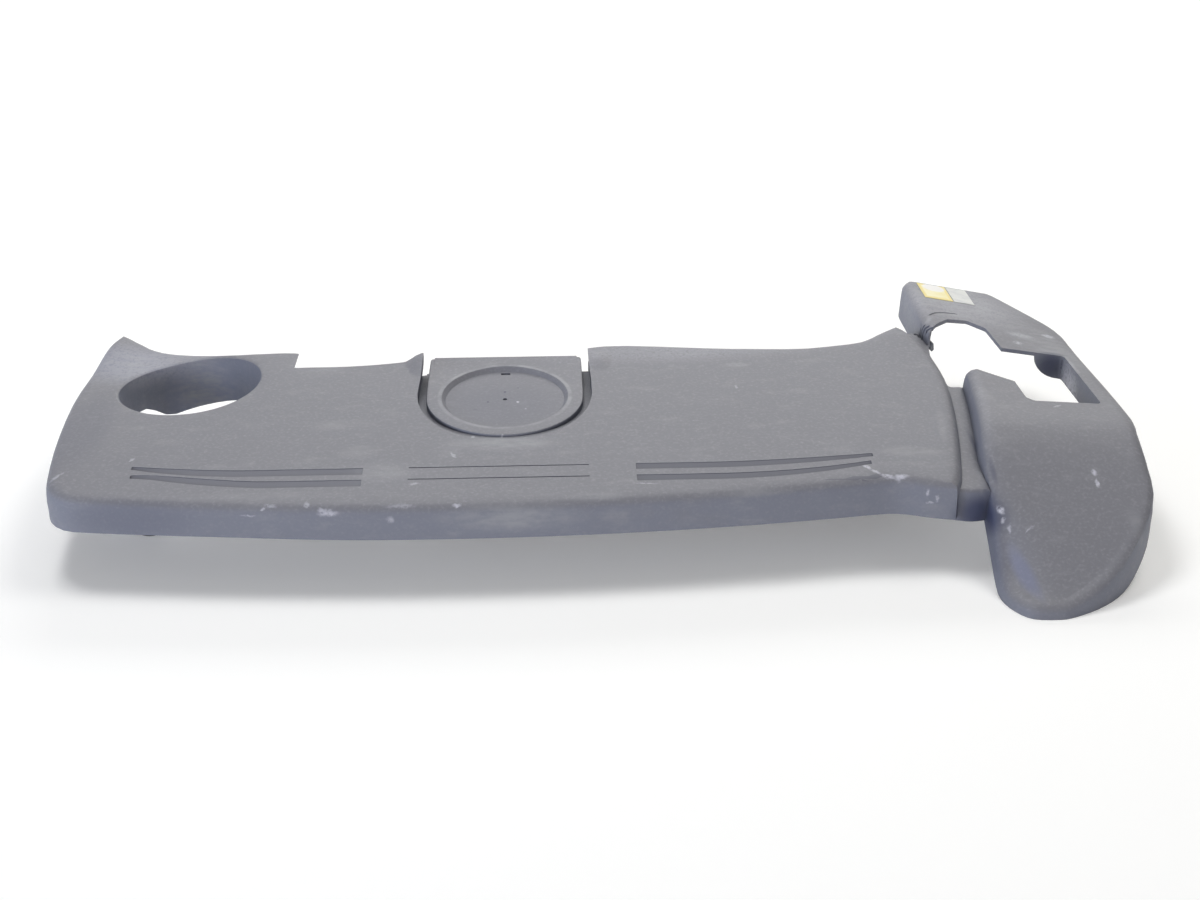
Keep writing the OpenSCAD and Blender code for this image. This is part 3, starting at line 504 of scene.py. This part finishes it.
# %% Black rubber
BLACK_RUBBER = "232325"
BLOOM = "3a3a3c"
RUBBER_GRAIN = 0.8 * MM
RUBBER_GRAIN_DEPTH = 0.1 * MM
RUBBER_ROUGHNESS = 0.78
EPDM_IOR = 1.52


def moulded_epdm_rubber():
    material, tree, shader = new_material("moulded_epdm_rubber_black")
    place = add_node(tree, "ShaderNodeTexCoord").outputs["Object"]
    bloom = cloudy_marks(tree, place, 4, (1, 1, 1), 0.45, 0.75)
    colour = add_node(tree, "ShaderNodeMix", RGBA, i0=bloom, i6=BLACK_RUBBER, i7=BLOOM)
    tree.links.new(colour.outputs[2], shader.inputs["Base Color"])
    grain = add_node(tree, "ShaderNodeTexNoise", Vector=place, Scale=1 / RUBBER_GRAIN, Detail=1.0)
    skin = add_node(tree, "ShaderNodeBump", Strength=0.3, Distance=RUBBER_GRAIN_DEPTH,
                    Height=grain.outputs["Fac"])
    tree.links.new(skin.outputs[0], shader.inputs["Normal"])
    shader.inputs["Roughness"].default_value = RUBBER_ROUGHNESS
    shader.inputs["IOR"].default_value = EPDM_IOR
    return material


rubber = moulded_epdm_rubber()
print("nodes in the rubber:", len(rubber.node_tree.nodes))

# %% [markdown]
# ## Each piece gets its finish
#
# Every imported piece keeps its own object, and only the material in its slot is
# changed. What isn't the shell or a film is a grommet.

# %% Put each finish on its pieces
finish_of = {"cover_shell": plastic, **films}
for name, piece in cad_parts.items():
    finish = finish_of.get(name, rubber)
    piece.data.materials.clear()
    piece.data.materials.append(finish)
    print(f"{name}: {finish.name}")

# %% [markdown]
# ## From flat facets to a moulded skin
#
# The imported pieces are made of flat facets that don't share their corner
# points. A real moulding has no facets. Modifiers leave the mesh itself alone
# and change only what is shown. The first joins the points. On the shell it
# also adds one step of a subdivision surface, which rounds its long curved
# outlines. An edge that turns by more than a moulded curve would is creased
# fully, so that slots, rims and skirt feet stay where they are. Upright edges
# may turn more, because they are the round corners of the skirt in plan. Then
# the shading is cut at real corners, and normals that favour the large faces
# make a rounded edge read as round.

# %% Rounding and shading modifiers
CORNER = math.radians(32)
UPRIGHT_CORNER = math.radians(50)
UPRIGHT = 0.6
SAME_POINT = 0.01 * MM
LARGE_FACES = 60


def moulded_skin(name, steps):
    """Geometry nodes that join the points of a mesh and round it between its real corners."""
    tree = bpy.data.node_groups.new(name, "GeometryNodeTree")
    for side in ("INPUT", "OUTPUT"):
        tree.interface.new_socket("Geometry", in_out=side, socket_type="NodeSocketGeometry")
    start = add_node(tree, "NodeGroupInput")
    joined = add_node(tree, "GeometryNodeMergeByDistance", Geometry=start.outputs[0],
                      Distance=SAME_POINT)
    ends = add_node(tree, "GeometryNodeInputMeshEdgeVertices")
    along = add_node(tree, "ShaderNodeVectorMath", {"operation": "SUBTRACT"},
                     i0=ends.outputs["Position 1"], i1=ends.outputs["Position 2"])
    unit = add_node(tree, "ShaderNodeVectorMath", {"operation": "NORMALIZE"}, i0=along.outputs[0])
    parts = add_node(tree, "ShaderNodeSeparateXYZ", Vector=unit.outputs[0])
    rise = add_node(tree, "ShaderNodeMath", {"operation": "ABSOLUTE"}, i0=parts.outputs["Z"])
    limit = add_node(tree, "ShaderNodeMapRange", Value=rise.outputs[0], From_Min=UPRIGHT,
                     From_Max=UPRIGHT + 0.01, To_Min=CORNER, To_Max=UPRIGHT_CORNER)
    turn = add_node(tree, "GeometryNodeInputMeshEdgeAngle")
    corner = add_node(tree, "FunctionNodeCompare", {"data_type": "FLOAT", "operation": "GREATER_THAN"},
                      i0=turn.outputs["Unsigned Angle"], i1=limit.outputs[0])
    rounded = add_node(tree, "GeometryNodeSubdivisionSurface", Mesh=joined.outputs[0], Level=steps,
                       Edge_Crease=corner.outputs[0])
    add_node(tree, "NodeGroupOutput", Geometry=rounded.outputs[0])
    return tree


def show_as_moulded(piece, skin):
    piece.data.shade_smooth()
    piece.modifiers.new("moulded_skin", "NODES").node_group = skin
    piece.modifiers.new("keep_corners", "EDGE_SPLIT").split_angle = CORNER
    piece.modifiers.new("even_normals", "WEIGHTED_NORMAL").weight = LARGE_FACES


rounded_skin, plain_skin = moulded_skin("rounded_skin", 1), moulded_skin("plain_skin", 0)
for name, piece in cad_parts.items():
    show_as_moulded(piece, rounded_skin if name == "cover_shell" else plain_skin)
shown = shell.evaluated_get(bpy.context.evaluated_depsgraph_get()).data
print("faces of the shell:", len(shell.data.polygons), "packed,", len(shown.polygons), "shown")

# %% [markdown]
# ## The floor
#
# The floor is a large pale sheet that curves up far behind, so that there is
# no horizon. Paper takes the light evenly, and a little light of its own, which
# only the camera and reflections see, brings it up to a clean white. That light
# grows with distance, where the lamps no longer reach. The light on the cover
# doesn't change with it, and the cover's shadow stays.

# %% A sheet that curves up behind
SHEET_WIDTH, SHEET_FRONT, SHEET_TOP = 8.0, -3.5, 3.0
BEND_AT, BEND_R, BEND_STEPS = 2.0, 1.2, 12


def paper_sheet():
    arc = [k * math.pi / 2 / BEND_STEPS for k in range(1, BEND_STEPS + 1)]
    profile = [(SHEET_FRONT, 0.0), (BEND_AT, 0.0)]
    profile += [(BEND_AT + BEND_R * math.sin(a), BEND_R * (1 - math.cos(a))) for a in arc]
    profile += [(BEND_AT + BEND_R, SHEET_TOP)]
    points = [(x, y, z) for y, z in profile for x in (-SHEET_WIDTH / 2, SHEET_WIDTH / 2)]
    faces = [(2 * k, 2 * k + 1, 2 * k + 3, 2 * k + 2) for k in range(len(profile) - 1)]
    mesh = bpy.data.meshes.new("paper_sheet")
    mesh.from_pydata(points, [], faces)
    mesh.shade_smooth()
    sheet = bpy.data.objects.new("paper_sheet", mesh)
    bpy.context.scene.collection.objects.link(sheet)
    return sheet


sheet = paper_sheet()
print("floor faces:", len(sheet.data.polygons))

# %% Matt white paper
PAPER = "f4f4f3"
PAPER_GLOW = "fffdf8"
PAPER_ROUGHNESS = 0.9
GLOW_NEAR, GLOW_FAR = 0.16, 0.8
NEAR, FAR = 1.2, 3.2


def matt_white_paper():
    material, tree, shader = new_material("matt_white_paper")
    shader.inputs["Base Color"].default_value = linear(PAPER)
    shader.inputs["Roughness"].default_value = PAPER_ROUGHNESS
    ray = add_node(tree, "ShaderNodeLightPath")
    seen = add_node(tree, "ShaderNodeMath", {"operation": "MAXIMUM"}, i0=ray.outputs["Is Camera Ray"],
                    i1=ray.outputs["Is Glossy Ray"])
    place = add_node(tree, "ShaderNodeTexCoord").outputs["Object"]
    away = add_node(tree, "ShaderNodeVectorMath", {"operation": "LENGTH"}, i0=place)
    level = add_node(tree, "ShaderNodeMapRange", SMOOTH, Value=away.outputs["Value"],
                     From_Min=NEAR, From_Max=FAR, To_Min=GLOW_NEAR, To_Max=GLOW_FAR)
    glow = add_node(tree, "ShaderNodeEmission", Color=PAPER_GLOW, Strength=level.outputs[0])
    dark = add_node(tree, "ShaderNodeEmission", Color="000000", Strength=0.0)
    lift = add_node(tree, "ShaderNodeMixShader", Fac=seen.outputs[0], i1=dark.outputs[0],
                    i2=glow.outputs[0])
    both = add_node(tree, "ShaderNodeAddShader", i0=shader.outputs[0], i1=lift.outputs[0])
    output = [n for n in tree.nodes if n.type == "OUTPUT_MATERIAL"][0]
    tree.links.new(both.outputs[0], output.inputs["Surface"])
    return material


sheet.data.materials.append(matt_white_paper())
print("floor finish:", sheet.data.materials[0].name)

# %% [markdown]
# ## Light
#
# Two softboxes hang high and give the flat shadow under the front skirt. Two
# wide lamps stand low in front and to the left, like windows, and the left one
# is cool: faces that look that way turn bluish under it. A strip behind gives
# the soft sheen on the back of the cover, and an even room fills the rest. The
# camera sees that room as plain white where the floor ends.

# %% Lamps
# Each row is a name, a place and an aim in metres, a size, a power in watts and a colour.
LAMPS = [
    ("high_softbox", (-0.55, 0.55, 2.0), (0, 0, 0), (0.6, 0.6), 16.5, "ffffff"),
    ("right_softbox", (0.9, 0.5, 1.9), (0, 0, 0), (0.8, 0.8), 11.5, "fffefa"),
    ("front_window", (-0.3, -2.3, 0.35), (0, 0, 0.05), (2.4, 0.6), 15.8, "fffbfc"),
    ("left_window", (-1.9, -1.2, 0.5), (0, 0, 0.05), (1.0, 0.8), 18.4, "dce8ff"),
    ("back_strip", (0.3, 2.2, 1.5), (0, 0, 0), (2.4, 0.7), 21.5, "ffffff"),
]


def soft_lamp(name, place, aim, size, watts, colour):
    data = bpy.data.lights.new(name, "AREA")
    data.shape = "RECTANGLE"
    data.size, data.size_y = size
    data.energy = watts
    data.color = linear(colour)[:3]
    lamp = bpy.data.objects.new(name, data)
    bpy.context.scene.collection.objects.link(lamp)
    lamp.location = place
    lamp.rotation_euler = (Vector(aim) - Vector(place)).to_track_quat("-Z", "Y").to_euler()


for lamp in LAMPS:
    soft_lamp(*lamp)
print("lamps:", [lamp[0] for lamp in LAMPS])

# %% The room
ROOM_COLOUR = "fbfbfc"
ROOM_LEVEL = 0.22


def even_room():
    room = bpy.data.worlds.new("even_room")
    room.use_nodes = True
    tree = room.node_tree
    ray = add_node(tree, "ShaderNodeLightPath")
    seen = add_node(tree, "ShaderNodeMath", {"operation": "MAXIMUM"}, i0=ray.outputs["Is Camera Ray"],
                    i1=ray.outputs["Is Transmission Ray"])
    level = add_node(tree, "ShaderNodeMapRange", Value=seen.outputs[0], To_Min=ROOM_LEVEL, To_Max=1.0)
    wall = tree.nodes["Background"]
    wall.inputs["Color"].default_value = linear(ROOM_COLOUR)
    tree.links.new(level.outputs[0], wall.inputs["Strength"])
    return room


bpy.context.scene.world = even_room()
bpy.context.scene.view_settings.view_transform = "Standard"
print("room level on the cover:", ROOM_LEVEL)

# %% [markdown]
# ## Camera
#
# The camera was fitted to the real view: it looks down by 27 degrees from
# less than a metre away, with a field 42 degrees wide.

# %% Camera at the real view
CAMERA_PLACE = (-0.03045, -0.8657, 0.47075)
CAMERA_LOOKS = (0.03576, 0.89029, -0.45399)
CAMERA_FIELD = math.radians(42.0)

camera_data = bpy.data.cameras.new("camera")
camera_data.sensor_fit = "HORIZONTAL"
camera_data.angle = CAMERA_FIELD
camera = bpy.data.objects.new("camera", camera_data)
bpy.context.scene.collection.objects.link(camera)
camera.location = CAMERA_PLACE
camera.rotation_euler = Vector(CAMERA_LOOKS).to_track_quat("-Z", "Y").to_euler()
bpy.context.scene.camera = camera
print("camera stands at", tuple(round(c, 4) for c in camera.location))
